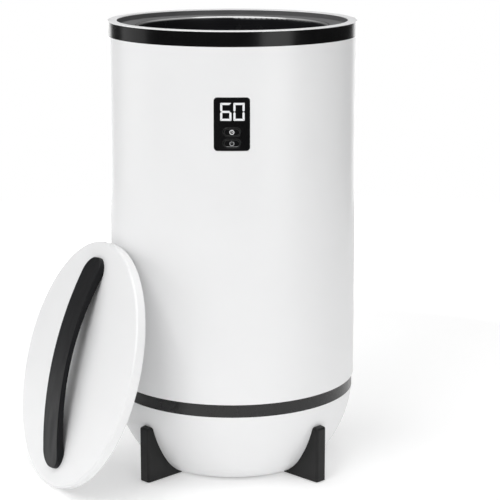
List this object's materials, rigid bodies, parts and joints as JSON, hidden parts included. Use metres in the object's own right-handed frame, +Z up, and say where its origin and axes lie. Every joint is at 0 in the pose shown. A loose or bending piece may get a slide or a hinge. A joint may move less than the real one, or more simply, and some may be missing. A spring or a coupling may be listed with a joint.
{
  "type": "towel warmer bucket",
  "caption": "Round bucket towel warmer on fin feet: insulated body with a heated pot, front display and push buttons, and a loose lid with a strap handle leaning against it.",
  "frame": {"origin": "on the floor, at the axis of the body, in the middle of the four feet", "axes": "+Z up along the body's axis; -Y is the front, where the control panel faces; +X to the right seen from the front"},
  "size_m": [0.4161, 0.3835, 0.5477],
  "materials": {
    "white_plastic": "satin",
    "black_gloss": "gloss",
    "black_plastic": "matte",
    "black_steel": "matte",
    "pot_coating": "satin black coating",
    "zinc_steel": "satin",
    "screw_steel": "satin",
    "silicone": "matte",
    "fibre_wool": "matte",
    "circuit_board": "satin"
  },
  "bodies": {
    "bucket": {"outer_shell": "white_plastic", "rim_band": "black_gloss", "top_lip_ring": "white_plastic", "inner_collar": "black_plastic", "inner_liner": "pot_coating", "heating_band": "silicone", "insulation_sleeve": "fibre_wool", "floor_pad": "fibre_wool", "thermostat": "zinc_steel", "thermal_fuse": "zinc_steel", "chassis_plate": "zinc_steel", "chassis_screws": "screw_steel", "lower_band": "black_gloss", "base_bowl": "white_plastic", "base_cover": "black_steel", "base_cover_screws": "screw_steel", "foot_front_right": "black_plastic", "foot_front_left": "black_plastic", "foot_back_left": "black_plastic", "foot_back_right": "black_plastic", "foot_screws": "screw_steel", "foot_pads": "silicone", "mains_board": "circuit_board", "mains_board_screws": "screw_steel", "cord_gland": "black_plastic", "control_lens": "black_gloss", "panel_housing": "black_plastic", "display_board": "circuit_board", "display_module": "black_plastic", "panel_screws": "screw_steel", "timer_switch": "black_plastic", "power_switch": "black_plastic"},
    "timer_button": {"timer_button": "black_gloss"},
    "power_button": {"power_button": "black_gloss"},
    "lid": {"lid_cover": "white_plastic", "lid_under_cover": "white_plastic", "lid_seal": "silicone", "lid_insulation": "fibre_wool", "lid_handle": "black_plastic", "handle_screws": "screw_steel"}
  },
  "joints": [
    {"name": "lid_lift", "type": "slide", "parent": "bucket", "child": "lid", "axis": [-0.845, -0.4399, 0.304], "range_m": [0, 0.3]},
    {"name": "timer_press", "type": "slide", "parent": "bucket", "child": "timer_button", "axis": [0, 1, 0], "range_m": [0, 0.0008], "stiffness_N_per_m": 1200, "springref_m": -0.0005},
    {"name": "power_press", "type": "slide", "parent": "bucket", "child": "power_button", "axis": [0, 1, 0], "range_m": [0, 0.0008], "stiffness_N_per_m": 1200, "springref_m": -0.0005}
  ]
}
